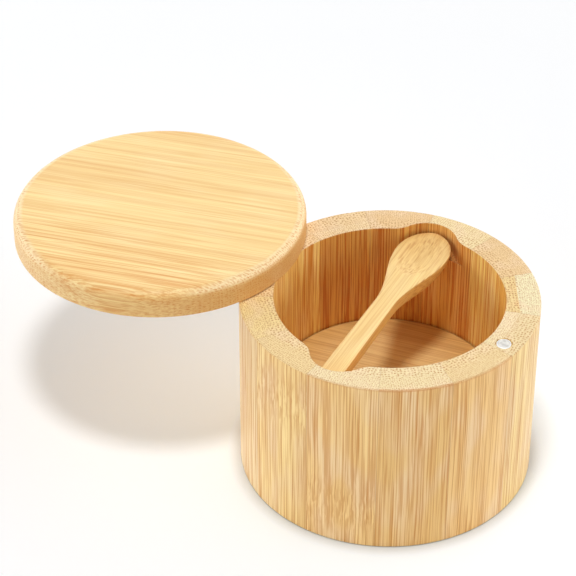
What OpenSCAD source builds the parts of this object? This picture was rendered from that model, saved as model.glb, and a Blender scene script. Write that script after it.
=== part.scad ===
// Round bamboo salt box.
// A wall of upright staves is glued round a thick floor plug. The lid swivels on
// one steel pin set in the wall, a pair of magnets holds it shut, and a small
// spoon lies across the well in two scooped notches.
// Millimetres. The origin is the centre of the underside, +Z is up, and +X runs
// from the pivot pin to the magnet in the rim.

/* [Box] */
// Outer radius of the box
body_r = 45; // [43.5:0.5:60]
// Height of the wall, from the table to the rim
body_h = 60; // [48:0.5:90]
// Radius of the salt well
bore_r = 34.7; // [28:0.1:36.5]
// Height of the well's floor above the table
floor_h = 25.2; // [8:0.1:30]
// Rounding of the wall's outer edges, at the rim and at the foot
wall_edge_r = 0.6; // [0.4:0.1:2]
// Chamfer round the top of the floor plug
plug_chamfer = 0.4; // [0.2:0.1:1]

/* [Staves] */
// Number of staves glued side by side round the wall
stave_count = 13; // [9:1:20]
// Direction of the first glue seam, seen from above, in degrees from +X
first_seam = -4.8; // [-12:0.1:-4.4]

/* [Spoon notches] */
// Direction of the line that runs through both notches, in degrees from +X
notch_dir = 99.6; // [60:0.1:120]
// Sideways offset of that line from the axis of the box
notch_offset = 1.35; // [0:0.05:4]
// How far each notch is scooped into the wall, past the bore
notch_reach = 5.5; // [4:0.1:8]
// Rounding where a notch runs out into the bore
notch_shoulder_r = 8; // [2:0.5:10]

/* [Lid] */
// How far the lid's edge stands out past the wall (0 is flush)
lid_overhang = 0; // [-1:0.5:2]
// Thickness of the lid
lid_t = 8.8; // [8:0.1:16]
// Rounding of the lid's upper edge
lid_top_edge_r = 3; // [1:0.1:4]
// Rounding of the lid's lower edge
lid_low_edge_r = 0.6; // [0.4:0.1:2]
// Running gap between the rim and the lid
lid_gap = 0.3; // [0.2:0.05:0.6]
// How far the lid is swung open, in degrees anticlockwise from closed
lid_open = 200.4; // [0:0.1:360]

/* [Pivot and magnets] */
// Distance of the pivot pin's centre in from the wall's outside
pivot_inset = 5.8; // [4:0.1:7]
// Distance of the rim magnet's centre in from the wall's outside
magnet_inset = 5.2; // [4:0.1:7]
// Radius of the pivot pin
pin_r = 2.5; // [1.5:0.1:3]
// Length of pin sunk in the wall
pin_in_wall = 14; // [8:1:24]
// Length of pin that stands up into the lid
pin_in_lid = 6; // [4:0.5:6.5]
// Chamfer on both ends of the pin
pin_chamfer = 0.5; // [0.2:0.1:0.8]
// Radius of each magnet
magnet_r = 2.5; // [1.5:0.1:2.8]
// Thickness of each magnet
magnet_t = 3; // [2:0.5:5]
// Chamfer round the shown face of each magnet
magnet_chamfer = 0.4; // [0.2:0.1:0.6]

/* [Spoon] */
// Width of the bowl
bowl_w = 16.8; // [12:0.2:18]
// Length of the rounded front half of the bowl
bowl_nose = 11.2; // [8:0.2:14]
// Length over which the bowl narrows into the handle
bowl_taper = 28; // [20:1:32]
// Depth of the bowl's belly below its top face
bowl_depth = 5.6; // [5:0.1:7]
// Depth of the hollow in the bowl
hollow_depth = 1.9; // [1:0.1:2.5]
// Width of flat rim left round the hollow
hollow_margin = 1.5; // [1:0.1:3]
// Width of the handle at the neck
neck_w = 6.2; // [5:0.1:8]
// Width of the handle at its end
handle_end_w = 7; // [5:0.1:8]
// Thickness of the handle
handle_t = 4.5; // [3:0.1:5]
// Rounding of the spoon's upper edges
spoon_edge_r = 0.7; // [0.5:0.1:1.4]
// Rounding of the corners at the end of the handle
handle_end_r = 1.6; // [0.8:0.1:2.2]
// Depth of the spoon's top face below the rim
spoon_drop = 3; // [2:0.1:4]
// How far the spoon lies to the left of the notches' line, looking along notch_dir
spoon_aside = 0.4; // [0:0.1:0.4]

/* [Clearances] */
// Glue line round the floor plug and the magnets
glue_gap = 0.05; // [0.02:0.01:0.1]
// Gap round the pin where it is driven into the wall
press_gap = 0.02; // [0.01:0.01:0.03]
// Gap round the pin where the lid turns on it
pivot_gap = 0.06; // [0.03:0.01:0.1]
// Gap above the pin in the lid, and below the pin in the wall
pin_end_gap = 0.4; // [0.2:0.1:1]
// Gap between the spoon's handle and the ledges that carry it
spoon_rest_gap = 0.3; // [0.2:0.05:0.5]
// Play beside the bowl in its notch
notch_side_play = 0.85; // [0.5:0.05:1.2]
// Play along the spoon, from one notch end to the other
notch_end_play = 1.6; // [1:0.1:5]

/* [Hidden] */
$fn = 96;
CUT = 1;                       // how far a cutting solid runs past the face it opens
ARC_BITE = 0.004;              // makes tangent arcs cross, so that they meet at one clean point
RING_STEP = 9;                 // degrees between the points of a spoon section
NOSE_STEPS = 14;               // sections round the nose of the bowl
TAPER_STEPS = 20;              // sections from the bowl to the neck
HANDLE_STEPS = 4;              // sections along the straight handle
END_STEPS = 5;                 // sections round the end of the handle

BOX_WOOD = ["#e9c791", "#f0d6a0", "#e3bd85"];
LID_WOOD = "#f3d199";
PLUG_WOOD = "#d2a266";
SPOON_WOOD = "#f6d79d";
STEEL = "#b9bbbd";

stave_angle = 360 / stave_count;
lid_r = body_r + lid_overhang;
lid_z = body_h + lid_gap;
pivot = [pivot_inset - body_r, 0, 0];
rim_magnet_at = [body_r - magnet_inset, 0, 0];

// The notches end on the same two cutter circles, one at each end of the spoon.
notch_r = bowl_w / 2 + notch_side_play;
notch_end = bore_r + notch_reach;
notch_centre = notch_end - notch_r;
notch_depth = spoon_drop + handle_t + spoon_rest_gap;

spoon_len = 2 * notch_end - notch_end_play;
spoon_top = body_h - spoon_drop;
spoon_nose_at = notch_end - notch_end_play / 2;
// Length of the nose, or of the handle's end, that lies over its ledge
seat_len = spoon_nose_at - bore_r;

// ---- Wall ----

// A rectangle in the (radius, height) plane whose outer corners are rounded:
// low_r at the foot and top_r at the top.
module outer_rounded_section(inner, outer, low, top, low_r, top_r) {
    translate([inner, low + low_r])
        square([outer - inner, top - low - low_r - top_r]);
    translate([inner, low]) square([outer - inner - low_r, low_r]);
    translate([inner, top - top_r]) square([outer - inner - top_r, top_r]);
    intersection() {
        translate([outer - low_r, low + low_r]) circle(low_r);
        translate([outer - low_r, low]) square(low_r);
    }
    intersection() {
        translate([outer - top_r, top - top_r]) circle(top_r);
        translate([outer - top_r, top - top_r]) square(top_r);
    }
}

module wall_ring() {
    rotate_extrude()
        outer_rounded_section(bore_r, body_r, 0, body_h, wall_edge_r, wall_edge_r);
}

// The slice of the ring between two glue seams, as an upright wedge.
module stave_wedge(i) {
    reach = 1.2 * body_r;
    from = first_seam + (i - 1) * stave_angle;
    to = from + stave_angle;
    translate([0, 0, -CUT])
        linear_extrude(body_h + 2 * CUT)
            polygon([[0, 0],
                     [reach * cos(from), reach * sin(from)],
                     [reach * cos(to), reach * sin(to)]]);
}

// Where the circles (a, ra) and (b, rb) meet, on the left of the line from a to b
// for side = 1 and on its right for side = -1.
function circles_meet(a, ra, b, rb, side) =
    let (d = norm(b - a),
         along = (d * d + ra * ra - rb * rb) / (2 * d),
         across = sqrt(ra * ra - along * along),
         u = (b - a) / d)
    a + along * u + side * across * [-u[1], u[0]];

// Plan of one notch, out along +X from the axis: the cutter's circle, and on each
// side a rounded shoulder that runs tangent into the cutter's circle and the bore.
// The triangle from the axis to the shoulder's centre to the cutter's centre, less
// the shoulder's circle, is what the rounding takes off the corner between the two.
module notch_plan(offset) {
    centre = [notch_centre, offset];
    translate(centre) circle(notch_r);
    for (side = [-1, 1]) {
        shoulder = circles_meet([0, 0], bore_r + notch_shoulder_r,
                                centre, notch_r + notch_shoulder_r, side);
        difference() {
            polygon([[0, 0], shoulder, centre]);
            translate(shoulder) circle(notch_shoulder_r + ARC_BITE);
        }
    }
}

// Both notches, cut down from the rim to the ledges that carry the spoon. Their
// common line lies notch_offset to the left of the axis, looking along notch_dir.
module notches() {
    translate([0, 0, body_h - notch_depth])
        linear_extrude(notch_depth + CUT)
            for (end = [0, 1])
                rotate(notch_dir + 180 * end)
                    notch_plan(end == 0 ? notch_offset : -notch_offset);
}

module pivot_hole() {
    translate(pivot + [0, 0, body_h - pin_in_wall - pin_end_gap])
        cylinder(h = pin_in_wall + pin_end_gap + CUT, r = pin_r + press_gap);
}

module rim_magnet_pocket() {
    translate(rim_magnet_at + [0, 0, body_h - magnet_t - glue_gap])
        cylinder(h = magnet_t + glue_gap + CUT, r = magnet_r + glue_gap);
}

// One stave: its slice of the ring, with whatever is cut into that slice.
module stave(i) {
    color(BOX_WOOD[i % len(BOX_WOOD)])
        difference() {
            intersection() {
                wall_ring();
                stave_wedge(i);
            }
            notches();
            pivot_hole();
            rim_magnet_pocket();
        }
}

// ---- Floor ----

// A thick disc with its grain lying flat, glued in from below, flush with the foot.
module floor_plug() {
    plug_r = bore_r - glue_gap;
    color(PLUG_WOOD)
        rotate_extrude()
            polygon([[0, 0], [plug_r, 0], [plug_r, floor_h - plug_chamfer],
                     [plug_r - plug_chamfer, floor_h], [0, floor_h]]);
}

// ---- Pivot and magnets ----

module pivot_pin() {
    length = pin_in_wall + lid_gap + pin_in_lid;
    color(STEEL)
        translate(pivot + [0, 0, body_h - pin_in_wall])
            rotate_extrude()
                polygon([[0, 0], [pin_r - pin_chamfer, 0], [pin_r, pin_chamfer],
                         [pin_r, length - pin_chamfer], [pin_r - pin_chamfer, length],
                         [0, length]]);
}

// A disc magnet that stands on its back, with the chamfered shown face on top.
module magnet() {
    color(STEEL)
        rotate_extrude()
            polygon([[0, 0], [magnet_r, 0], [magnet_r, magnet_t - magnet_chamfer],
                     [magnet_r - magnet_chamfer, magnet_t], [0, magnet_t]]);
}

module rim_magnet() {
    translate(rim_magnet_at + [0, 0, body_h - magnet_t]) magnet();
}

// ---- Lid ----

// Swings what is drawn for a closed lid to the angle at which the lid stands.
module swing_open() {
    translate(pivot) rotate(lid_open) translate(-pivot) children();
}

module lid() {
    color(LID_WOOD)
        swing_open()
            difference() {
                translate([0, 0, lid_z])
                    rotate_extrude()
                        outer_rounded_section(0, lid_r, 0, lid_t,
                                              lid_low_edge_r, lid_top_edge_r);
                translate(pivot + [0, 0, lid_z - CUT])
                    cylinder(h = CUT + pin_in_lid + pin_end_gap, r = pin_r + pivot_gap);
                translate(rim_magnet_at + [0, 0, lid_z - CUT])
                    cylinder(h = CUT + magnet_t + glue_gap, r = magnet_r + glue_gap);
            }
}

// The lid's magnet faces down, over the rim's when the lid is closed.
module lid_magnet() {
    swing_open()
        translate(rim_magnet_at + [0, 0, lid_z + magnet_t])
            mirror([0, 0, 1])
                magnet();
}

// ---- Spoon ----

bowl_half = bowl_w / 2;
neck_half = neck_w / 2;
neck_at = bowl_nose + bowl_taper;
handle_half_end = handle_end_w / 2;

// Half the spoon's width at a distance s from its nose: an elliptical nose, a
// cosine taper into the neck, a slim straight handle and two rounded corners.
function handle_half(s) =
    neck_half + (handle_half_end - neck_half) * (s - neck_at) / (spoon_len - neck_at);

function corner_loss(s) =
    let (into = s - (spoon_len - handle_end_r))
    into <= 0 ? 0 : handle_end_r - sqrt(max(0, pow(handle_end_r, 2) - pow(into, 2)));

function half_width(s) =
    s < bowl_nose
        ? bowl_half * sqrt(max(0, 1 - pow(1 - s / bowl_nose, 2)))
        : s < neck_at
            ? neck_half + (bowl_half - neck_half)
                * (1 + cos(180 * (s - bowl_nose) / bowl_taper)) / 2
            : handle_half(s) - corner_loss(s);

// Thickness along the middle. Over the ledge of its notch the nose swells to the
// handle's own thickness, so that the spoon lies level on both ledges. The belly of
// the bowl hangs lower, but only inside the bore.
function thickness(s) =
    let (nose_tip = 2 * spoon_edge_r,
         belly_part = (s - seat_len) / (neck_at - seat_len))
    s < seat_len ? nose_tip + (handle_t - nose_tip) * sin(90 * s / seat_len)
        : s < neck_at ? handle_t + (bowl_depth - handle_t) * (1 - cos(360 * belly_part)) / 2
        : handle_t;

// Squareness of the underside: 2 is a half ellipse, more is closer to a box.
function under_power(s) =
    s < bowl_nose ? 2.6
        : s < neck_at ? 2.6 + 4.9 * (s - bowl_nose) / bowl_taper
        : 7.5;

// Depth of the hollow, a smooth oval dish whose rim lies hollow_margin inside the
// outline at the nose and at the widest place.
function hollow(s, x) =
    let (half_l = bowl_nose + 1 - hollow_margin / 2,
         along = (s - hollow_margin - half_l) / half_l,
         across = x / (bowl_half - hollow_margin),
         inside = 1 - along * along - across * across)
    inside <= 0 ? 0 : hollow_depth * pow(inside, 1.4);

// One section: the top face from left to right, then the underside back again.
function rounded(t, power) = pow(max(0, 1 - pow(abs(t), power)), 1 / power);

function section(s) =
    let (w = half_width(s), deep = thickness(s) - spoon_edge_r, power = under_power(s))
    concat(
        [for (a = [-90:RING_STEP:90])
            [s, w * sin(a), spoon_edge_r * (rounded(sin(a), 5) - 1) - hollow(s, w * sin(a))]],
        [for (a = [90 - RING_STEP:-RING_STEP:-90 + RING_STEP])
            [s, w * sin(a), -spoon_edge_r - deep * rounded(sin(a), power)]]
    );

stations = concat(
    [for (i = [0.6:NOSE_STEPS]) bowl_nose * (1 - cos(90 * i / NOSE_STEPS))],
    [for (i = [0:TAPER_STEPS]) bowl_nose + bowl_taper * i / TAPER_STEPS],
    [for (i = [1:HANDLE_STEPS])
        neck_at + (spoon_len - handle_end_r - neck_at) * i / HANDLE_STEPS],
    [for (i = [1:END_STEPS])
        spoon_len - handle_end_r * (1 - sin(85 * i / END_STEPS))]
);

// A skin over the sections, from the nose (s = 0) along +X to the handle's end.
module spoon_blank() {
    rings = [for (s = stations) section(s)];
    n = len(rings[0]);
    last = len(rings) - 1;
    polyhedron(
        points = [for (ring = rings) for (p = ring) p],
        faces = concat(
            [[for (j = [0:n - 1]) j]],
            [for (k = [0:last - 1]) for (j = [0:n - 1])
                let (a = k * n + j, b = k * n + (j + 1) % n)
                [a, a + n, b + n]],
            [for (k = [0:last - 1]) for (j = [0:n - 1])
                let (a = k * n + j, b = k * n + (j + 1) % n)
                [a, b + n, b]],
            [[for (j = [n - 1:-1:0]) last * n + j]]
        )
    );
}

// The spoon lies along the notches' line, with its bowl at the notch_dir end.
module spoon() {
    color(SPOON_WOOD)
        translate([0, 0, spoon_top])
            rotate(notch_dir)
                translate([spoon_nose_at, notch_offset + spoon_aside, 0])
                    rotate(180)
                        spoon_blank();
}

for (i = [1:stave_count])
    stave(i);
floor_plug();
pivot_pin();
rim_magnet();
lid();
lid_magnet();
spoon();
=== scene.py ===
import bpy
import numpy as np
from mathutils import Matrix, Vector


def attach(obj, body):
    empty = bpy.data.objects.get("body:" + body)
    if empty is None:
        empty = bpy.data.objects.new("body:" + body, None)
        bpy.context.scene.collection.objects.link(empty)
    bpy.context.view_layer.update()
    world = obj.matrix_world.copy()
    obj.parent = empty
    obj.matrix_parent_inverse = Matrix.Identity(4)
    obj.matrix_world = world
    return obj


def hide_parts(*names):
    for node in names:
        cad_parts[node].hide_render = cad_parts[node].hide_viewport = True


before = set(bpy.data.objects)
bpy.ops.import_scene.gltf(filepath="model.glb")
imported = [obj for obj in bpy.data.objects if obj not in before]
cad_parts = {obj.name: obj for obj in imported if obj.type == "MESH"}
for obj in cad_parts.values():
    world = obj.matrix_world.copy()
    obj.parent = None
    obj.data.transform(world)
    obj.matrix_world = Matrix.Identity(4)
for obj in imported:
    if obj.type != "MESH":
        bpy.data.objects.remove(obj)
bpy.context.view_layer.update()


# ---- Wall ----
# Thirteen upright bamboo staves, glued edge to edge in a ring and turned round on a
# lathe. Each stave is two layers pressed together, so its end grain on the rim shows
# the joint between a thin inner layer and a thick outer one.

STAVES = 13
FIRST_SEAM = -4.8
OUTER_R, RIM_TOP = 45.0, 60.0
LAYER_JOINT = 38.1


def paint(red, green, blue):
    """A colour named in 0 to 255, as the linear values that a shader takes."""
    values = np.array([red, green, blue]) / 255
    linear = np.where(values <= 0.04045, values / 12.92, ((values + 0.055) / 1.055) ** 2.4)
    return (*linear.tolist(), 1.0)


def put(tree, kind, sockets, **settings):
    """Places one node; each socket takes a number, a colour or another node's output."""
    node = tree.nodes.new("ShaderNode" + kind)
    for key, value in settings.items():
        setattr(node, key, value)
    for key, value in sockets.items():
        if isinstance(value, bpy.types.NodeSocket):
            tree.links.new(value, node.inputs[key])
        else:
            node.inputs[key].default_value = value
    return node


def calc(tree, operation, *values, clamp=False):
    """One step of arithmetic on numbers or outputs."""
    sockets = dict(enumerate(values))
    return put(tree, "Math", sockets, operation=operation, use_clamp=clamp).outputs[0]


def ramp(tree, value, start, end, low=0.0, high=1.0):
    """Goes smoothly from low to high while value goes from start to end."""
    sockets = {"Value": value, "From Min": start, "From Max": end, "To Min": low, "To Max": high}
    return put(tree, "MapRange", sockets, interpolation_type="SMOOTHSTEP").outputs[0]


def blend(tree, factor, first, second, mode="MIX"):
    """Mixes two colours by factor."""
    sockets = {0: factor, 6: first, 7: second}
    return put(tree, "Mix", sockets, data_type="RGBA", blend_type=mode).outputs[2]


def stretched(tree, place, across, through, along):
    """The place with each of its three directions scaled, so that a pattern runs with the fibres."""
    sockets = {0: place, 1: (across, through, along)}
    return put(tree, "VectorMath", sockets, operation="MULTIPLY").outputs[0]


def noise(tree, place, detail=2.0, rough=0.5):
    """Cloudy noise with one cloud to each unit of the place."""
    sockets = {"Vector": place, "Scale": 1.0, "Detail": detail, "Roughness": rough}
    return put(tree, "TexNoise", sockets)


def bundles(tree, place, spacing):
    """Dark dots where fibre bundles of this spacing stand along Z, some darker than others."""
    sockets = {"Vector": place, "Scale": calc(tree, "DIVIDE", 1.0, spacing), "Randomness": 0.5}
    cells = put(tree, "TexVoronoi", sockets, voronoi_dimensions="2D")
    pick = put(tree, "SeparateXYZ", {0: cells.outputs["Color"]}).outputs[0]
    dark = ramp(tree, cells.outputs["Distance"], 0.38, 0.2)
    return calc(tree, "MULTIPLY", dark, ramp(tree, pick, 0.0, 0.9, 0.5, 1.0))


def open_group(name, **inputs):
    """A new shader group whose inputs have these names and values; returns it and its inputs."""
    group = bpy.data.node_groups.new(name, "ShaderNodeTree")
    for label, value in inputs.items():
        kind = {1: "Float", 3: "Vector", 4: "Color"}[np.size(value)]
        label = label.replace("_", " ")
        socket = group.interface.new_socket(label, in_out="INPUT", socket_type="NodeSocket" + kind)
        socket.default_value = value
    return group, group.nodes.new("NodeGroupInput").outputs


def close_group(group, **outputs):
    """Leads these results to group outputs of the same names."""
    end = group.nodes.new("NodeGroupOutput")
    for label, (kind, result) in outputs.items():
        group.interface.new_socket(label, in_out="OUTPUT", socket_type="NodeSocket" + kind)
        group.links.new(result, end.inputs[label])


# The bamboo itself. Place is in millimetres, with Z along the fibres: the dark fibre
# bundles are dots where a surface cuts across them and lines where it runs with them.
BAMBOO, given = open_group(
    "bamboo",
    Place=(0.0, 0.0, 0.0),
    Facing=(0.0, 0.0, 1.0),
    Seed=0.0,
    Side_Tone=paint(240, 205, 150),
    End_Tone=paint(240, 208, 155),
    Fibre_Tone=paint(190, 130, 70),
    Pale_Tone=paint(250, 232, 196),
    Bundle_Spacing=0.95,
    Coarse=0.5,
    Dot_Strength=0.3,
    Line_Strength=0.3,
    Streak_Strength=0.3,
    Cloud_Strength=0.3,
    Knot_Height=0.0,
    Knot_Strength=0.0,
)
seed_step = stretched(BAMBOO, given["Seed"], 37.3, 17.9, 53.1)
start = put(BAMBOO, "VectorMath", {0: given["Place"], 1: seed_step}, operation="ADD").outputs[0]

# Slow bends of the fibres, and sharp ones near a knot of the cane
bend = noise(BAMBOO, stretched(BAMBOO, start, 0.08, 0.08, 0.02), 1.0).outputs[1]
twist = noise(BAMBOO, stretched(BAMBOO, start, 0.3, 0.3, 0.13), 2.0).outputs[1]
height = put(BAMBOO, "SeparateXYZ", {0: given["Place"]}).outputs[2]
off_knot = calc(BAMBOO, "ABSOLUTE", calc(BAMBOO, "SUBTRACT", height, given["Knot Height"]))
near_knot = calc(BAMBOO, "MULTIPLY", ramp(BAMBOO, off_knot, 15.0, 1.0), given["Knot Strength"])
slow = put(BAMBOO, "VectorMath", {0: bend, 1: (0.5, 0.5, 0.5)}, operation="SUBTRACT").outputs[0]
slow = stretched(BAMBOO, slow, 1.0, 1.0, 0.0)
sharp = put(BAMBOO, "VectorMath", {0: twist, 1: (0.5, 0.5, 0.5)}, operation="SUBTRACT").outputs[0]
sharp = stretched(BAMBOO, sharp, 1.0, 1.0, 0.0)
sharp = put(BAMBOO, "VectorMath", {0: sharp, "Scale": near_knot}, operation="SCALE").outputs[0]
bent = put(BAMBOO, "VectorMath", {0: start, 1: slow}, operation="ADD").outputs[0]
bent = put(BAMBOO, "VectorMath", {0: bent, 1: sharp}, operation="ADD").outputs[0]

# Where the surface is end grain
end_facing = put(BAMBOO, "SeparateXYZ", {0: given["Facing"]}).outputs[2]
end_grain = ramp(BAMBOO, calc(BAMBOO, "ABSOLUTE", end_facing), 0.15, 0.8)

# Fibre bundles: coarse and sparse towards the inside of the cane, fine towards its skin
spacing = given["Bundle Spacing"]
coarse_dots = bundles(BAMBOO, bent, spacing)
fine_dots = bundles(BAMBOO, bent, calc(BAMBOO, "MULTIPLY", spacing, 0.68))
coarse_part = calc(BAMBOO, "MULTIPLY", coarse_dots, given["Coarse"])
fine_part = calc(BAMBOO, "MULTIPLY_ADD", given["Coarse"], -0.85, 0.85)
dots = calc(BAMBOO, "MULTIPLY_ADD", fine_dots, fine_part, coarse_part)

# Fine lines, which break into short dashes near a knot, broad streaks and pale clouds
lines = noise(BAMBOO, stretched(BAMBOO, bent, 2.2, 2.2, 0.022), 2.5, 0.7).outputs[0]
lines = ramp(BAMBOO, lines, 0.43, 0.61)
dashes = noise(BAMBOO, stretched(BAMBOO, bent, 1.05, 1.05, 0.11), 1.5, 0.6).outputs[0]
dashes = calc(BAMBOO, "MULTIPLY", ramp(BAMBOO, dashes, 0.49, 0.62), near_knot)
streaks = noise(BAMBOO, stretched(BAMBOO, bent, 0.42, 0.3, 0.009), 2.0).outputs[0]
streaks = ramp(BAMBOO, streaks, 0.35, 0.68)
clouds = noise(BAMBOO, stretched(BAMBOO, start, 0.14, 0.14, 0.05), 1.0).outputs[0]
clouds = ramp(BAMBOO, clouds, 0.42, 0.72)

side_part = calc(BAMBOO, "SUBTRACT", 1.0, end_grain)
dot_part = calc(BAMBOO, "MULTIPLY", dots, given["Dot Strength"])
dot_part = calc(BAMBOO, "MULTIPLY", dot_part, calc(BAMBOO, "MULTIPLY_ADD", end_grain, 0.7, 0.3))
line_part = calc(BAMBOO, "MAXIMUM", lines, dashes)
line_part = calc(BAMBOO, "MULTIPLY", line_part, given["Line Strength"])
line_part = calc(BAMBOO, "MULTIPLY", line_part, calc(BAMBOO, "MULTIPLY_ADD", side_part, 0.7, 0.3))
streak_part = calc(BAMBOO, "MULTIPLY", streaks, given["Streak Strength"])
streak_part = calc(BAMBOO, "MULTIPLY", streak_part, calc(BAMBOO, "MULTIPLY_ADD", side_part, 0.8, 0.2))
dark = calc(BAMBOO, "ADD", dot_part, calc(BAMBOO, "ADD", line_part, streak_part), clamp=True)
tone = blend(BAMBOO, end_grain, given["Side Tone"], given["End Tone"])
pale = calc(BAMBOO, "MULTIPLY", clouds, given["Cloud Strength"], clamp=True)
tone = blend(BAMBOO, pale, tone, given["Pale Tone"])
tone = blend(BAMBOO, dark, tone, given["Fibre Tone"])
gloss = calc(BAMBOO, "MULTIPLY_ADD", lines, 0.12, 0.42)
gloss = calc(BAMBOO, "MULTIPLY_ADD", end_grain, 0.14, gloss)
relief = calc(BAMBOO, "MULTIPLY_ADD", dots, -0.5, calc(BAMBOO, "MULTIPLY", lines, -0.5))
close_group(
    BAMBOO,
    Color=("Color", tone),
    Roughness=("Float", gloss),
    Height=("Float", relief),
)

# An arris is eased by sanding: its normal is rounded over, and its colour is lifted paler, partly
# sanding wear and partly a painted highlight.
ARRIS, given = open_group("eased arris", Radius=0.0003, Color=(1.0, 1.0, 1.0, 1.0), Lift=0.06)
eased = put(ARRIS, "Bevel", {"Radius": given["Radius"]}, samples=4).outputs[0]
flat = put(ARRIS, "NewGeometry", {}).outputs["Normal"]
agree = put(ARRIS, "VectorMath", {0: eased, 1: flat}, operation="DOT_PRODUCT").outputs["Value"]
edge = ramp(ARRIS, agree, 0.995, 0.8)
lifted = calc(ARRIS, "MULTIPLY", edge, given["Lift"])
worn_and_highlit = blend(ARRIS, lifted, given["Color"], paint(252, 232, 190))
close_group(ARRIS, Color=("Color", worn_and_highlit), Normal=("Vector", eased))


def bamboo_material(name, across, through, along, **look):
    """A bamboo finish for a piece whose fibres run along the third of three square directions.

    Returns the material, its nodes, the place in millimetres and the facing, both turned
    so that Z runs with the fibres, and the two group nodes of the bamboo and the arris.
    """
    material = bpy.data.materials.new(name)
    material.use_nodes = True
    tree = material.node_tree
    surface = tree.nodes["Principled BSDF"]
    here = put(tree, "TexCoord", {})
    turn = Matrix((across, through, along)).to_euler()
    sockets = {"Vector": here.outputs["Object"], "Rotation": turn, "Scale": (1000.0,) * 3}
    place = put(tree, "Mapping", sockets).outputs[0]
    sockets = {"Vector": here.outputs["Normal"], "Rotation": turn}
    facing = put(tree, "Mapping", sockets, vector_type="NORMAL").outputs[0]
    sockets = {"Place": place, "Facing": facing}
    sockets.update({key.replace("_", " "): value for key, value in look.items()})
    wood = put(tree, "Group", sockets, node_tree=BAMBOO)
    arris = put(tree, "Group", {"Color": wood.outputs["Color"]}, node_tree=ARRIS)
    sockets = {
        "Height": wood.outputs["Height"],
        "Distance": 0.00006,
        "Strength": 0.6,
        "Normal": arris.outputs["Normal"],
    }
    bump = put(tree, "Bump", sockets)
    tree.links.new(arris.outputs["Color"], surface.inputs["Base Color"])
    tree.links.new(wood.outputs["Roughness"], surface.inputs["Roughness"])
    tree.links.new(bump.outputs["Normal"], surface.inputs["Normal"])
    return material, tree, place, facing, wood, arris


# Glue joints of a stave: the seam on each side of it, and the joint between its layers.
# Place has X across the stave and Y straight out from the axis of the box.
JOINTS, given = open_group(
    "glue joints",
    Place=(0.0, 0.0, 0.0),
    Color=(1.0, 1.0, 1.0, 1.0),
    Facing=(0.0, 0.0, 1.0),
    Inner_Tone=(1.0, 1.0, 1.0, 1.0),
    Bore_Tone=(1.0, 1.0, 1.0, 1.0),
    Ledge_Tone=(0.64, 0.35, 0.13, 1.0),
    Layer_Joint=LAYER_JOINT,
    Skin=0.15,
    Half_Angle=np.pi / STAVES,
    Glue_Tone=paint(170, 112, 58),
)
spot = put(JOINTS, "SeparateXYZ", {0: given["Place"]}).outputs
inside = calc(JOINTS, "MULTIPLY", spot[1], calc(JOINTS, "SINE", given["Half Angle"]))
slant = calc(JOINTS, "COSINE", given["Half Angle"])
sideways = calc(JOINTS, "MULTIPLY", calc(JOINTS, "ABSOLUTE", spot[0]), slant)
from_seam = calc(JOINTS, "SUBTRACT", inside, sideways)
seam = ramp(JOINTS, from_seam, 0.12, 0.0)
from_layer = calc(JOINTS, "SUBTRACT", spot[1], given["Layer Joint"])
inner = ramp(JOINTS, from_layer, 0.06, -0.06)
layer = ramp(JOINTS, calc(JOINTS, "ABSOLUTE", from_layer), 0.12, 0.0, 0.0, 0.35)
joint = calc(JOINTS, "MULTIPLY", calc(JOINTS, "MAXIMUM", seam, layer), 0.45)
turned = put(JOINTS, "SeparateXYZ", {0: given["Facing"]}).outputs
faces_in = ramp(JOINTS, turned[1], -0.15, -0.6)
# Upward faces of the notch ledges, well below the rim, are painted darker as shade
faces_up = ramp(JOINTS, turned[2], 0.6, 0.9)
below_rim = ramp(JOINTS, spot[2], RIM_TOP - 4.0, RIM_TOP - 6.0)
shaded_ledge = calc(JOINTS, "MULTIPLY", faces_up, below_rim)
toned = blend(JOINTS, inner, given["Color"], given["Inner Tone"], "MULTIPLY")
# Inward faces take the bore factors: painted light and shade in the well
toned = blend(JOINTS, faces_in, toned, given["Bore Tone"], "MULTIPLY")
toned = blend(JOINTS, shaded_ledge, toned, given["Ledge Tone"], "MULTIPLY")
toned = blend(JOINTS, joint, toned, given["Glue Tone"])

# The hard skin side of the cane, left by the lathe as a brown line round the outer arris
flat_spot = stretched(JOINTS, given["Place"], 1.0, 1.0, 0.0)
outer = put(JOINTS, "VectorMath", {0: flat_spot}, operation="LENGTH").outputs["Value"]
near_side = ramp(JOINTS, outer, OUTER_R - 0.7, OUTER_R - 0.25)
near_rim = ramp(JOINTS, spot[2], RIM_TOP - 0.8, RIM_TOP - 0.5)
skin = calc(JOINTS, "MULTIPLY", near_side, near_rim)
skin = calc(JOINTS, "MULTIPLY", skin, given["Skin"])
toned = blend(JOINTS, skin, toned, paint(204, 134, 66))
close_group(JOINTS, Color=("Color", toned))

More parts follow.
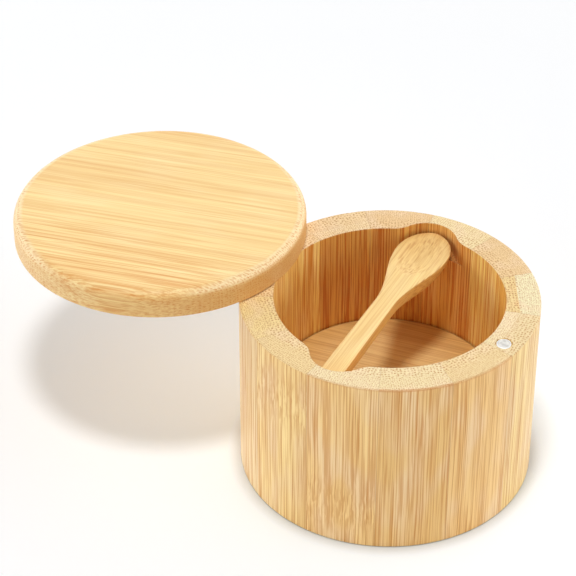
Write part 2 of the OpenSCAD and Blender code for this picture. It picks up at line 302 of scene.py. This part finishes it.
# The staves come from different canes, so each has its own tones: paints on its end grain and its
# outer side, and factors on them in its inner layer and on the side of the well. The outer side
# paints also carry painted light and shade: staves 12 and 13, facing the dim side, are darker, and
# staves 1, 9 and 10, facing the bright sides, lighter. The factors on the side of the well are
# painted light and shade: they deepen the inside to the orange of shade and bounced light, darken
# staves 4, 5 and 6 by the spoon's bowl as shade, and lighten staves 2 and 3 where light falls. A knot
# has its height above the foot, in millimetres, and how strongly it shows.
WALL_SIDE = paint(252, 219, 150)
BORE_PAINTED_SHADE = (1.05, 1.03, 0.71, 1.0)
SAME = (1.0, 1.0, 1.0, 1.0)
SKIN_LEFT = 0.08
NO_KNOT = (0.0, 0.0)
LINE_TONE, BORE_LINE_TONE, DOT_TONE = paint(206, 138, 54), paint(210, 134, 54), paint(196, 142, 82)
stave_ends = [
    paint(238, 216, 164), paint(245, 235, 191), paint(238, 205, 150), paint(245, 224, 170),
    paint(239, 204, 149), paint(246, 215, 161), paint(242, 215, 164), paint(243, 213, 156),
    paint(246, 220, 155), paint(241, 215, 157), paint(243, 225, 178), paint(241, 223, 173),
    paint(240, 215, 159),
]
# Outer side paints: the cane's tone, with painted shade on staves 12 and 13 and painted light on
# staves 1, 9 and 10
stave_side_tones_and_light = {
    1: paint(255, 226, 151),
    9: paint(252, 228, 174),
    10: paint(255, 225, 153),
    11: paint(255, 219, 148),
    12: paint(244, 204, 130),
    13: paint(251, 210, 137),
}
stave_inners = {1: (1.05, 1.1, 1.16, 1.0), 2: (0.957, 0.808, 0.583, 1.0), 6: (1.03, 1.07, 1.12, 1.0)}
pale_inside = (1, 6)
# Painted light and shade on the side of the well, as factors
stave_bore_light_and_shade = {
    2: (1.06, 1.12, 0.84, 1.0),
    3: (1.08, 1.13, 0.85, 1.0),
    4: (0.97, 0.82, 0.54, 1.0),
    5: (0.82, 0.62, 0.33, 1.0),
    6: (0.8, 0.58, 0.29, 1.0),
}
stave_skins = {11: 0.3, 12: 0.6, 13: 0.4}
stave_knots = {10: (46.0, 1.0), 11: (14.0, 0.9), 5: (20.0, 0.8), 8: (38.0, 0.9)}
for number in range(1, STAVES + 1):
    middle = np.radians(FIRST_SEAM + (number - 0.5) * 360 / STAVES)
    outwards = (np.cos(middle), np.sin(middle), 0.0)
    across = (np.sin(middle), -np.cos(middle), 0.0)
    knot_height, knot_strength = stave_knots.get(number, NO_KNOT)
    stave_bamboo, tree, place, facing, wood, arris = bamboo_material(
        f"bamboo stave {number}", across, outwards, (0.0, 0.0, 1.0),
        Seed=float(number),
        Side_Tone=stave_side_tones_and_light.get(number, WALL_SIDE),
        End_Tone=stave_ends[number - 1],
        Pale_Tone=paint(252, 226, 188),
        Bundle_Spacing=0.95,
        Dot_Strength=0.95,
        Streak_Strength=0.12,
        Cloud_Strength=0.5,
        Knot_Height=knot_height,
        Knot_Strength=knot_strength,
    )
    from_axis = put(tree, "SeparateXYZ", {0: place}).outputs[1]
    inner_coarse = (0.1, 0.9) if number in pale_inside else (0.9, 0.1)
    coarse = ramp(tree, from_axis, LAYER_JOINT - 0.5, LAYER_JOINT + 2.5, *inner_coarse)
    tree.links.new(coarse, wood.inputs["Coarse"])
    line_strength = ramp(tree, from_axis, 36.0, 40.0, 0.95, 0.68)
    tree.links.new(line_strength, wood.inputs["Line Strength"])
    turned = put(tree, "SeparateXYZ", {0: facing}).outputs
    faces_in = ramp(tree, turned[1], -0.15, -0.6)
    cut_across = ramp(tree, calc(tree, "ABSOLUTE", turned[2]), 0.3, 0.7)
    fibre_tone = blend(tree, faces_in, LINE_TONE, BORE_LINE_TONE)
    fibre_tone = blend(tree, cut_across, fibre_tone, DOT_TONE)
    tree.links.new(fibre_tone, wood.inputs["Fibre Tone"])
    surface = tree.nodes["Principled BSDF"]
    surface.inputs["Coat Weight"].default_value = 0.25
    surface.inputs["Coat Roughness"].default_value = 0.25
    sockets = {
        "Place": place,
        "Facing": facing,
        "Color": wood.outputs["Color"],
        "Inner Tone": stave_inners.get(number, SAME),
        "Bore Tone": stave_bore_light_and_shade.get(number, BORE_PAINTED_SHADE),
        "Skin": stave_skins.get(number, SKIN_LEFT),
    }
    glued = put(tree, "Group", sockets, node_tree=JOINTS)
    tree.links.new(glued.outputs["Color"], arris.inputs["Color"])
    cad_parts[f"stave_{number}"].data.materials[0] = stave_bamboo


# ---- Floor ----
# A thick bamboo disc, cut from a board with its fibres lying flat and glued in between the staves
# from below. Towards the wall it is painted darker, as the shade of the well, and its edge keeps a
# dark line of glue where it meets the wall.

BORE_R = 34.7
FLOOR_GRAIN = np.radians(15.0)
NEAR_WALL_SHADE = (0.77, 0.655, 0.42, 1.0)
GLUE_LINE = paint(110, 48, 12)

floor_along = (np.cos(FLOOR_GRAIN), np.sin(FLOOR_GRAIN), 0.0)
floor_across = (np.sin(FLOOR_GRAIN), -np.cos(FLOOR_GRAIN), 0.0)
floor_bamboo, tree, place, _, wood, arris = bamboo_material(
    "bamboo floor", floor_across, (0.0, 0.0, -1.0), floor_along,
    Seed=21.0,
    Side_Tone=paint(254, 221, 153),
    End_Tone=paint(240, 200, 136),
    Fibre_Tone=paint(190, 126, 60),
    Pale_Tone=paint(246, 218, 160),
    Bundle_Spacing=0.9,
    Dot_Strength=0.3,
    Line_Strength=0.3,
    Streak_Strength=0.2,
    Cloud_Strength=0.2,
)
flat_place = stretched(tree, place, 1.0, 0.0, 1.0)
from_axis = put(tree, "VectorMath", {0: flat_place}, operation="LENGTH").outputs["Value"]
# Painted shade: the disc darkens towards the wall
shade_near_wall = ramp(tree, from_axis, BORE_R - 16.0, BORE_R, 0.0, 0.75)
at_wall = ramp(tree, from_axis, BORE_R - 1.0, BORE_R - 0.1, 0.0, 0.85)
shaded = blend(tree, shade_near_wall, wood.outputs["Color"], NEAR_WALL_SHADE, "MULTIPLY")
glued = blend(tree, at_wall, shaded, GLUE_LINE)
tree.links.new(glued, arris.inputs["Color"])
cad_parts["floor_plug"].data.materials[0] = floor_bamboo


# ---- Pivot pin and magnets ----
# A plain turned steel pin is driven into the wall, and the lid swings on its upper end.
# Two nickel-plated disc magnets with chamfered edges are let in flush, one in the rim
# and one in the underside of the lid.

PIVOT_AT = (-0.0392, 0.0, 0.0)
RIM_MAGNET_AT = (0.0398, 0.0, 0.0)
LID_OPEN = np.radians(200.4)

METAL, given = open_group(
    "metal wear",
    Place=(0.0, 0.0, 0.0),
    Bright=paint(236, 233, 226),
    Dull=paint(170, 166, 160),
    Smooth=0.25,
    Scratch=0.2,
)
haze = noise(METAL, stretched(METAL, given["Place"], 0.9, 0.9, 0.9), 3.0).outputs[0]
haze = ramp(METAL, haze, 0.35, 0.7)
scratches = noise(METAL, stretched(METAL, given["Place"], 9.0, 0.7, 9.0), 2.0).outputs[0]
scratches = ramp(METAL, scratches, 0.56, 0.7)
dull = calc(METAL, "MULTIPLY", haze, 0.5)
dull = calc(METAL, "MULTIPLY_ADD", scratches, given["Scratch"], dull)
metal_tone = blend(METAL, dull, given["Bright"], given["Dull"])
metal_rough = calc(METAL, "MULTIPLY_ADD", dull, 0.25, given["Smooth"])
metal_relief = calc(METAL, "MULTIPLY", scratches, -1.0)
close_group(
    METAL,
    Color=("Color", metal_tone),
    Roughness=("Float", metal_rough),
    Height=("Float", metal_relief),
)


def metal_material(name, centre, **look):
    """A worn metal finish whose pattern is centred on the piece."""
    material = bpy.data.materials.new(name)
    material.use_nodes = True
    tree = material.node_tree
    surface = tree.nodes["Principled BSDF"]
    here = put(tree, "TexCoord", {})
    shift = tuple(-1000.0 * value for value in centre)
    sockets = {"Vector": here.outputs["Object"], "Location": shift, "Scale": (1000.0,) * 3}
    place = put(tree, "Mapping", sockets).outputs[0]
    sockets = {key.replace("_", " "): value for key, value in look.items()}
    worn = put(tree, "Group", {"Place": place, **sockets}, node_tree=METAL)
    bump = put(tree, "Bump", {"Height": worn.outputs["Height"], "Distance": 0.00001})
    tree.links.new(worn.outputs["Color"], surface.inputs["Base Color"])
    tree.links.new(worn.outputs["Roughness"], surface.inputs["Roughness"])
    tree.links.new(bump.outputs["Normal"], surface.inputs["Normal"])
    surface.inputs["Metallic"].default_value = 1.0
    return material, tree, place, worn


steel_pin, *_ = metal_material("turned steel", PIVOT_AT, Smooth=0.3)
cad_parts["pivot_pin"].data.materials[0] = steel_pin

magnet_arm = RIM_MAGNET_AT[0] - PIVOT_AT[0]
lid_magnet_at = (
    PIVOT_AT[0] + magnet_arm * np.cos(LID_OPEN),
    PIVOT_AT[1] + magnet_arm * np.sin(LID_OPEN),
    0.0,
)
for node, centre in (("rim_magnet", RIM_MAGNET_AT), ("lid_magnet", lid_magnet_at)):
    plated, tree, place, worn = metal_material(f"nickel plate {node}", centre)
    flat_place = stretched(tree, place, 1.0, 1.0, 0.0)
    from_centre = put(tree, "VectorMath", {0: flat_place}, operation="LENGTH").outputs["Value"]
    # The chamfered rim of each magnet is smoother, and its colour is painted brighter as a highlight
    chamfer_highlight = ramp(tree, from_centre, 1.75, 2.1)
    shade = calc(tree, "MULTIPLY_ADD", chamfer_highlight, -0.15, 0.42)
    surface = tree.nodes["Principled BSDF"]
    tree.links.new(shade, surface.inputs["Roughness"])
    tone = blend(tree, chamfer_highlight, worn.outputs["Color"], paint(246, 246, 244))
    tree.links.new(tone, surface.inputs["Base Color"])
    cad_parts[node].data.materials[0] = plated


# ---- Lid ----
# A thick round turned from side-pressed bamboo board, its upper edge rounded over more
# than its lower one. Its fibres run from the pivot towards the magnet, and it swings on
# the pin from a blind hole in its underside.

LID_GRAIN = np.radians(20.4)
LID_R = 45.0
LID_MIDDLE_ACROSS, LID_MIDDLE_ALONG = -13.7, -75.9
LID_LINE_TONE, LID_DOT_TONE = paint(218, 142, 56), paint(216, 146, 74)
# Near the pivot the end grain and sides are painted darker, as shade beside the box
FAR_END_TONE, NEAR_PIVOT_SHADE = paint(248, 218, 163), paint(231, 190, 121)
# Painted highlight on the upper rounding at the ends of the fibres
EDGE_HIGHLIGHT_TONE = paint(252, 231, 184)
LID_SIDE_SHADE = (0.87, 0.785, 0.66, 1.0)

lid_along = (np.cos(LID_GRAIN), np.sin(LID_GRAIN), 0.0)
lid_across = (np.sin(LID_GRAIN), -np.cos(LID_GRAIN), 0.0)
lid_bamboo, tree, place, facing, wood, arris = bamboo_material(
    "bamboo lid", lid_across, (0.0, 0.0, -1.0), lid_along,
    Seed=33.0,
    Side_Tone=paint(249, 220, 153),
    Pale_Tone=paint(255, 240, 190),
    Bundle_Spacing=0.88,
    Coarse=0.5,
    Dot_Strength=0.95,
    Streak_Strength=0.3,
    Cloud_Strength=0.2,
    Knot_Height=-60.0,
    Knot_Strength=0.15,
)
lid_place = put(tree, "SeparateXYZ", {0: place}).outputs
line_strength = ramp(tree, lid_place[0], -10.0, 22.0, 0.2, 0.5)
tree.links.new(line_strength, wood.inputs["Line Strength"])
turned = put(tree, "SeparateXYZ", {0: facing}).outputs
looks_up = ramp(tree, calc(tree, "MULTIPLY", turned[1], -1.0), 0.15, 0.6)

# The upper edge is sanded round across the ends of the fibres, so the pattern leans over
# there and shows its dots. The lid's middle is given across and along the fibres.
to_middle = (-LID_MIDDLE_ACROSS, 0.0, -LID_MIDDLE_ALONG)
lid_spot = put(tree, "VectorMath", {0: place, 1: to_middle}, operation="ADD").outputs[0]
lid_spot = stretched(tree, lid_spot, 1.0, 0.0, 1.0)
from_middle = put(tree, "VectorMath", {0: lid_spot}, operation="LENGTH").outputs["Value"]
lengthways = calc(tree, "ABSOLUTE", put(tree, "SeparateXYZ", {0: lid_spot}).outputs[2])
at_edge = ramp(tree, from_middle, LID_R - 4.2, LID_R - 2.4)
rounded_edge = calc(tree, "MULTIPLY", at_edge, ramp(tree, lengthways, 16.0, 32.0))
rounded_edge = calc(tree, "MULTIPLY", rounded_edge, looks_up)
end_facing = calc(tree, "MULTIPLY_ADD", rounded_edge, 0.32, calc(tree, "ABSOLUTE", turned[2]))
leaning = put(tree, "CombineXYZ", {0: turned[0], 1: turned[1], 2: end_facing}).outputs[0]
tree.links.new(leaning, wood.inputs["Facing"])

# Its end grain is painted darker towards the pivot, as shade where the lid hangs beside the box, and
# paler on the upper rounding, as a painted highlight
cut_across = ramp(tree, end_facing, 0.15, 0.6)
# Painted highlight: end grain on the upward rounding is paler
painted_highlight = calc(tree, "MULTIPLY", calc(tree, "MULTIPLY", cut_across, looks_up), 0.8)
fibre_tone = blend(tree, cut_across, LID_LINE_TONE, LID_DOT_TONE)
tree.links.new(fibre_tone, wood.inputs["Fibre Tone"])
shade_near_pivot = ramp(tree, lid_place[2], -112.0, -52.0)
end_tone = blend(tree, shade_near_pivot, FAR_END_TONE, NEAR_PIVOT_SHADE)
end_tone = blend(tree, painted_highlight, end_tone, EDGE_HIGHLIGHT_TONE)
tree.links.new(end_tone, wood.inputs["End Tone"])
# Side faces near the pivot are painted darker, as shade
shaded_side = ramp(tree, calc(tree, "ABSOLUTE", turned[1]), 0.7, 0.3)
shaded_side = calc(tree, "MULTIPLY", shaded_side, shade_near_pivot)
toned = blend(tree, shaded_side, wood.outputs["Color"], LID_SIDE_SHADE, "MULTIPLY")
tree.links.new(toned, arris.inputs["Color"])
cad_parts["lid"].data.materials[0] = lid_bamboo


# ---- Spoon ----
# A small spoon carved from one strip of bamboo, its fibres running from the bowl to
# the handle. A shallow hollow is scooped in the bowl and all edges are sanded round.

BOWL_HALF, NECK_HALF, END_HALF = 8.4, 3.1, 3.5
BOWL_NOSE, BOWL_TAPER = 11.2, 28.0
SPOON_LENGTH, HANDLE_THICK, BOWL_THICK = 78.8, 4.5, 5.6
HOLLOW_DEEP, HOLLOW_MARGIN = 1.9, 1.5
TOP_ROUND, END_ROUND = 0.7, 1.6
SPOON_TOP, SPOON_NOSE_AT, SPOON_ASIDE = 57.0, 39.4, 1.75
SPOON_SEAT = 4.7
SPOON_LINE = np.radians(99.6)
BOWL_TONE, SPOON_SIDE_SHADE = (0.95, 0.8, 0.62, 1.0), (0.82, 0.66, 0.44, 1.0)


def spoon_surface(stations, around):
    """The spoon's skin in its own place: s from the nose, x to the side and z up.

    At each station s the outline has a half width w: the square root curve of an
    ellipse round the nose, a cosine slope down to the neck, then a slim handle with
    rounded corners. With t going once round the section, x is w times the sine of t.
    While the cosine of t is positive, z lies on the top face, which drops by the
    rounding near both sides and by the dish of the hollow; otherwise z lies on the
    underside, a curve whose power goes from nearly round to nearly square.
    """
    s, t = np.meshgrid(stations, around, indexing="ij")
    neck = BOWL_NOSE + BOWL_TAPER
    nose_w = BOWL_HALF * np.sqrt(np.clip(1 - (1 - s / BOWL_NOSE) ** 2, 0, 1))
    slope = (1 + np.cos(np.pi * np.clip((s - BOWL_NOSE) / BOWL_TAPER, 0, 1))) / 2
    taper_w = NECK_HALF + (BOWL_HALF - NECK_HALF) * slope
    along_handle = (s - neck) / (SPOON_LENGTH - neck)
    into = np.clip(s - (SPOON_LENGTH - END_ROUND), 0, END_ROUND)
    corner = END_ROUND - np.sqrt(END_ROUND**2 - into**2)
    handle_w = NECK_HALF + (END_HALF - NECK_HALF) * along_handle - corner
    w = np.where(s < BOWL_NOSE, nose_w, np.where(s < neck, taper_w, handle_w))

    swell = np.sin(np.pi / 2 * np.clip(s / SPOON_SEAT, 0, 1))
    tip_thick = 2 * TOP_ROUND + (HANDLE_THICK - 2 * TOP_ROUND) * swell
    belly = (1 - np.cos(2 * np.pi * np.clip((s - SPOON_SEAT) / (neck - SPOON_SEAT), 0, 1))) / 2
    thick = np.where(s < SPOON_SEAT, tip_thick, HANDLE_THICK + (BOWL_THICK - HANDLE_THICK) * belly)

    x = w * np.sin(t)
    half_length = BOWL_NOSE + 1 - HOLLOW_MARGIN / 2
    dish = 1 - ((s - HOLLOW_MARGIN - half_length) / half_length) ** 2
    dish = dish - (x / (BOWL_HALF - HOLLOW_MARGIN)) ** 2
    hollow = HOLLOW_DEEP * np.clip(dish, 0, 1) ** 1.4
    side = np.abs(np.sin(t))
    top = TOP_ROUND * ((1 - side**5) ** 0.2 - 1) - hollow
    power = 2.6 + 4.9 * np.clip((s - BOWL_NOSE) / BOWL_TAPER, 0, 1)
    bottom = -TOP_ROUND - (thick - TOP_ROUND) * np.clip(1 - side**power, 0, 1) ** (1 / power)
    z = np.where(np.cos(t) >= 0, top, bottom)
    return np.stack([s, x, z], axis=-1)


def closed_tube(name, rings):
    """A closed mesh from rings of points: quads between the rings and a fan on each end."""
    count, points = rings.shape[:2]
    ends = np.stack([rings[0].mean(0), rings[-1].mean(0)])
    vertices = np.concatenate([rings.reshape(-1, 3), ends])
    index = np.arange(count * points).reshape(count, points)
    beside = np.roll(index, -1, axis=1)
    quads = np.stack([index[:-1], beside[:-1], beside[1:], index[1:]], axis=-1).reshape(-1, 4)
    first, last = count * points, count * points + 1
    near = np.stack([np.full(points, first), beside[0], index[0]], axis=-1)
    far = np.stack([np.full(points, last), index[-1], beside[-1]], axis=-1)
    mesh = bpy.data.meshes.new(name)
    mesh.from_pydata(vertices.tolist(), [], quads.tolist() + near.tolist() + far.tolist())
    mesh.update()
    mesh.shade_smooth()
    return mesh


nose = BOWL_NOSE * (1 - np.cos(np.linspace(0.03, np.pi / 2, 46)))
body = np.linspace(BOWL_NOSE, SPOON_LENGTH - END_ROUND, 110)[1:]
tail = SPOON_LENGTH - END_ROUND * (1 - np.sin(np.linspace(0, 1.52, 12)[1:]))
skin = spoon_surface(np.concatenate([nose, body, tail]), np.linspace(0, 2 * np.pi, 121)[:-1])
reach = SPOON_NOSE_AT - skin[..., 0]
aside = SPOON_ASIDE - skin[..., 1]
placed = np.stack(
    [
        reach * np.cos(SPOON_LINE) - aside * np.sin(SPOON_LINE),
        reach * np.sin(SPOON_LINE) + aside * np.cos(SPOON_LINE),
        SPOON_TOP + skin[..., 2],
    ],
    axis=-1,
)
spoon = bpy.data.objects.new("spoon_carved", closed_tube("spoon_carved", placed / 1000))
bpy.context.scene.collection.objects.link(spoon)
spoon_along = (np.cos(SPOON_LINE), np.sin(SPOON_LINE), 0.0)
spoon_across = (np.sin(SPOON_LINE), -np.cos(SPOON_LINE), 0.0)
spoon_bamboo, tree, place, facing, wood, arris = bamboo_material(
    "bamboo spoon", spoon_across, (0.0, 0.0, -1.0), spoon_along,
    Seed=47.0,
    Side_Tone=paint(255, 222, 149),
    End_Tone=paint(240, 202, 138),
    Fibre_Tone=paint(206, 136, 58),
    Pale_Tone=paint(255, 236, 184),
    Bundle_Spacing=0.85,
    Coarse=0.9,
    Dot_Strength=1.25,
    Line_Strength=0.25,
    Streak_Strength=0.14,
    Cloud_Strength=0.2,
)
towards_nose = put(tree, "SeparateXYZ", {0: place}).outputs[2]
in_bowl = ramp(tree, towards_nose, 16.0, 42.0, 0.0, 0.75)
toned = blend(tree, in_bowl, wood.outputs["Color"], BOWL_TONE, "MULTIPLY")
turned = put(tree, "SeparateXYZ", {0: facing}).outputs
# The side faces are painted darker, as shade
shaded_side = ramp(tree, calc(tree, "ABSOLUTE", turned[1]), 0.75, 0.35)
toned = blend(tree, shaded_side, toned, SPOON_SIDE_SHADE, "MULTIPLY")
tree.links.new(toned, arris.inputs["Color"])
spoon.data.materials.append(spoon_bamboo)
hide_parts("spoon")
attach(spoon, "spoon")


# ---- Table and light ----
# The box stands on a wide white table in a studio. A soft lamp hangs overhead, bright
# walls stand behind the box and beside it, and the side of the camera is dim.

TABLE_HALF = 6.0
CLOTH, CLOTH_SEEN = (0.86, 0.86, 0.86, 1.0), (0.94, 0.95, 0.97, 1.0)
CONTACT_SHADOW_TONE = (0.42, 0.35, 0.26, 1.0)
GLOW_NEAR, GLOW_FAR = (0.3, 0.75, 0.9, 1.0), (1.0, 0.96, 0.82, 1.0)
TOWARDS_CAMERA, TO_THE_RIGHT = (0.66, -0.75, 0.0), (0.77, 0.64, 0.0)


def seen_rays(tree):
    """One for the rays that show a surface, straight or by way of metal or glass, else nought."""
    rays = put(tree, "LightPath", {}).outputs
    seen = calc(tree, "MAXIMUM", rays["Is Camera Ray"], rays["Is Glossy Ray"])
    return calc(tree, "MAXIMUM", seen, rays["Is Transmission Ray"])


table_mesh = bpy.data.meshes.new("table")
corners = TABLE_HALF * np.array([[-1, -1, 0], [1, -1, 0], [1, 1, 0], [-1, 1, 0]])
table_mesh.from_pydata(corners.tolist(), [], [(0, 1, 2, 3)])
table = bpy.data.objects.new("table", table_mesh)
bpy.context.scene.collection.objects.link(table)
white = bpy.data.materials.new("white table")
white.use_nodes = True
tree = white.node_tree
surface = tree.nodes["Principled BSDF"]
surface.inputs["Roughness"].default_value = 0.9
surface.inputs["Specular IOR Level"].default_value = 0.1
seen = seen_rays(tree)
cloth = blend(tree, seen, CLOTH, CLOTH_SEEN)
# A painted contact shadow: the table darkens where the box stands close over it
open_sky = put(tree, "AmbientOcclusion", {"Distance": 0.007}, samples=8).outputs["AO"]
cloth = blend(tree, ramp(tree, open_sky, 0.95, 0.4, 0.0, 0.62), cloth, CONTACT_SHADOW_TONE)
tree.links.new(cloth, surface.inputs["Base Color"])

# Where it is seen, the table glows faintly: cool beside the box, and white in the distance
spot = put(tree, "TexCoord", {}).outputs["Object"]
from_box = put(tree, "VectorMath", {0: spot}, operation="LENGTH").outputs["Value"]
glow = ramp(tree, from_box, 0.04, 0.12, 0.1, 0.035)
glow = calc(tree, "ADD", glow, ramp(tree, from_box, 0.2, 1.0, 0.0, 0.45))
glow_tone = blend(tree, ramp(tree, from_box, 0.05, 0.14), GLOW_NEAR, GLOW_FAR)
tree.links.new(glow_tone, surface.inputs["Emission Color"])
tree.links.new(calc(tree, "MULTIPLY", seen, glow), surface.inputs["Emission Strength"])
table_mesh.materials.append(white)

world = bpy.data.worlds.new("studio")
bpy.context.scene.world = world
world.use_nodes = True
tree = world.node_tree
room = tree.nodes["Background"]
way = put(tree, "TexCoord", {}).outputs["Generated"]
sockets = {0: way, 1: TOWARDS_CAMERA}
to_camera = put(tree, "VectorMath", sockets, operation="DOT_PRODUCT").outputs["Value"]
sockets = {0: way, 1: TO_THE_RIGHT}
to_right = put(tree, "VectorMath", sockets, operation="DOT_PRODUCT").outputs["Value"]
height = put(tree, "SeparateXYZ", {0: way}).outputs[2]
level = ramp(tree, to_camera, 0.5, 0.95, 2.5, 0.08)
overhead_level = ramp(tree, to_right, 0.0, 0.6, 0.08, 0.8)
overhead_level = calc(tree, "SUBTRACT", overhead_level, level)
level = calc(tree, "MULTIPLY_ADD", ramp(tree, height, 0.3, 0.65), overhead_level, level)

# Where the room itself is seen, it is plain white
to_white = calc(tree, "MULTIPLY", seen_rays(tree), calc(tree, "SUBTRACT", 1.0, level))
level = calc(tree, "ADD", level, to_white)
room.inputs["Color"].default_value = (1.0, 1.0, 1.0, 1.0)
tree.links.new(level, room.inputs["Strength"])

lamp = bpy.data.lights.new("overhead", "AREA")
lamp.shape = "DISK"
lamp.size = 0.22
lamp.energy = 6.8
overhead = bpy.data.objects.new("overhead", lamp)
overhead.location = (0.08, -0.26, 1.28)
bpy.context.scene.collection.objects.link(overhead)


# ---- Camera ----
# A long lens looks down on the box from about 74 cm away. Its place and its turn were
# worked out from the outlines of the rim, the foot and the lid.

EYE_AT = (0.303747, -0.473680, 0.478949)
RIGHTWARDS = Vector((0.811275, 0.584665, 0.000540))
UPWARDS = Vector((-0.348380, 0.482666, 0.803533))

camera = bpy.data.cameras.new("camera")
camera.sensor_width = 36.0
camera.lens = 147.15
camera.clip_start = 0.05
camera.clip_end = 50.0
eye = bpy.data.objects.new("camera", camera)
turn = Matrix((RIGHTWARDS, UPWARDS, RIGHTWARDS.cross(UPWARDS))).transposed()
eye.matrix_world = Matrix.Translation(EYE_AT) @ turn.to_4x4()
bpy.context.scene.collection.objects.link(eye)
bpy.context.scene.camera = eye
bpy.context.scene.view_settings.view_transform = "Standard"
